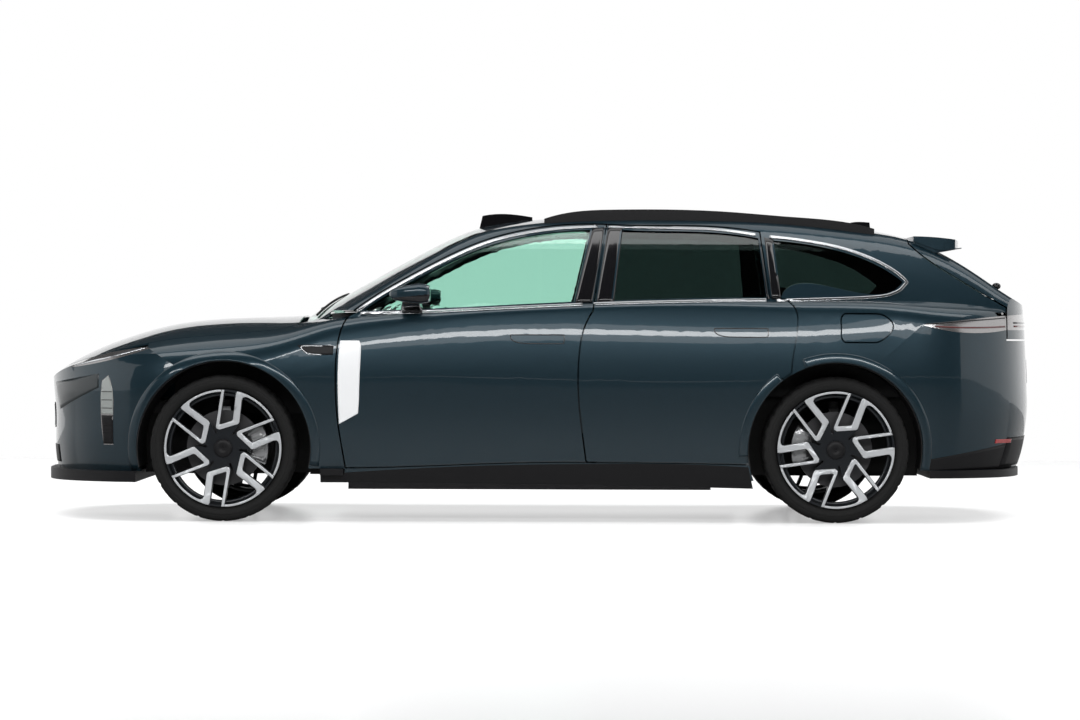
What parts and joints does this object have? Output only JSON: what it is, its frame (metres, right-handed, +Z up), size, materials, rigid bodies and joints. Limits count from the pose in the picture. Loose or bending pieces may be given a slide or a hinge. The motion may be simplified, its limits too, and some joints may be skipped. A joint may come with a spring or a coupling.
{
  "type": "station wagon",
  "caption": "Battery-electric station wagon with hollow cabin and load space, hinged doors, bonnet, tailgate and charge flap, and rolling, steered wheels.",
  "frame": {"origin": "on the floor under the tyres, in the middle of the length and width", "axes": "+X to the tail, +Y to the car's right, +Z up"},
  "size_m": [4.7983, 2.14, 1.4896],
  "materials": {
    "paint": "metallic clear coat",
    "black_trim": "satin black",
    "gloss_black": "gloss",
    "clear_glass": "clear, green tint",
    "dark_glass": "dark tint",
    "lamp_lens": "clear lens",
    "red_lens": "red lens",
    "tyre": "matt rubber",
    "rim": "machined and dark lacquered",
    "disc": "turned",
    "cast_alloy": "as cast",
    "steel": "black coated steel",
    "battery": "plain case",
    "seat_fabric": "woven and coated fabric",
    "cabin_trim": "grained"
  },
  "bodies": {
    "body": {"underbody": "steel", "body_sides": "paint", "cowl": "black_trim", "fenders": "paint", "front_bumper": "paint", "rear_bumper": "paint", "lower_trim": "black_trim", "roof": "paint", "windscreen": "clear_glass", "quarter_glass": "dark_glass", "headlamps": "lamp_lens", "tail_lamps": "red_lens", "roof_rails": "black_trim", "roof_sensors": "gloss_black", "dashboard": "cabin_trim", "steering_wheel": "cabin_trim", "seats": "seat_fabric", "drive_pack": "battery", "front_axle": "steel", "rear_axle": "steel"},
    "bonnet": {"bonnet": "paint"},
    "tailgate": {"tailgate": "paint", "tailgate_glass": "dark_glass", "gate_lamp": "red_lens"},
    "front_door_left": {"front_door_left": "paint", "front_glass_left": "clear_glass", "mirror_left": "paint"},
    "front_door_right": {"front_door_right": "paint", "front_glass_right": "clear_glass", "mirror_right": "paint"},
    "rear_door_left": {"rear_door_left": "paint", "rear_glass_left": "dark_glass"},
    "rear_door_right": {"rear_door_right": "paint", "rear_glass_right": "dark_glass"},
    "charge_flap": {"charge_flap": "paint"},
    "front_knuckle_left": {"front_knuckle_left": "cast_alloy"},
    "front_knuckle_right": {"front_knuckle_right": "cast_alloy"},
    "front_wheel_left": {"front_tyre_left": "tyre", "front_rim_left": "rim", "front_disc_left": "disc"},
    "front_wheel_right": {"front_tyre_right": "tyre", "front_rim_right": "rim", "front_disc_right": "disc"},
    "rear_wheel_left": {"rear_tyre_left": "tyre", "rear_rim_left": "rim", "rear_disc_left": "disc"},
    "rear_wheel_right": {"rear_tyre_right": "tyre", "rear_rim_right": "rim", "rear_disc_right": "disc"}
  },
  "joints": [
    {"name": "bonnet_hinge", "type": "hinge", "parent": "body", "child": "bonnet", "pos_m": [-1.151, 0, 0.981], "axis": [0, 1, 0], "range_deg": [0, 50]},
    {"name": "tailgate_hinge", "type": "hinge", "parent": "body", "child": "tailgate", "pos_m": [1.808, 0, 1.3522], "axis": [0, -1, 0], "range_deg": [0, 80]},
    {"name": "front_door_left_hinge", "type": "hinge", "parent": "body", "child": "front_door_left", "pos_m": [-0.9064, -0.9457, 0.6], "axis": [0, 0, -1], "range_deg": [0, 65]},
    {"name": "rear_door_left_hinge", "type": "hinge", "parent": "body", "child": "rear_door_left", "pos_m": [0.2367, -0.9322, 0.6], "axis": [0, 0, -1], "range_deg": [0, 68]},
    {"name": "front_door_right_hinge", "type": "hinge", "parent": "body", "child": "front_door_right", "pos_m": [-0.9064, 0.9457, 0.6], "axis": [0, 0, 1], "range_deg": [0, 65]},
    {"name": "rear_door_right_hinge", "type": "hinge", "parent": "body", "child": "rear_door_right", "pos_m": [0.2367, 0.9322, 0.6], "axis": [0, 0, 1], "range_deg": [0, 68]},
    {"name": "charge_flap_hinge", "type": "hinge", "parent": "body", "child": "charge_flap", "pos_m": [1.426, -0.9525, 0.915], "axis": [0, -0.2101, -0.9777], "range_deg": [0, 95]},
    {"name": "steering_left", "type": "hinge", "parent": "body", "child": "front_knuckle_left", "pos_m": [-1.492, -0.77, 0.345], "axis": [0, 0, 1], "range_deg": [-35, 35]},
    {"name": "steering_right", "type": "hinge", "parent": "body", "child": "front_knuckle_right", "pos_m": [-1.492, 0.77, 0.345], "axis": [0, 0, 1], "range_deg": [-35, 35]},
    {"name": "front_wheel_left_spin", "type": "hinge", "parent": "front_knuckle_left", "child": "front_wheel_left", "pos_m": [-1.492, -0.842, 0.345], "axis": [0, 1, 0], "continuous": true},
    {"name": "front_wheel_right_spin", "type": "hinge", "parent": "front_knuckle_right", "child": "front_wheel_right", "pos_m": [-1.492, 0.842, 0.345], "axis": [0, 1, 0], "continuous": true},
    {"name": "rear_wheel_left_spin", "type": "hinge", "parent": "body", "child": "rear_wheel_left", "pos_m": [1.396, -0.842, 0.345], "axis": [0, 1, 0], "continuous": true},
    {"name": "rear_wheel_right_spin", "type": "hinge", "parent": "body", "child": "rear_wheel_right", "pos_m": [1.396, 0.842, 0.345], "axis": [0, 1, 0], "continuous": true}
  ],
  "couplings": [
    {"joint": "steering_right", "follows": "steering_left", "ratio": 1}
  ]
}
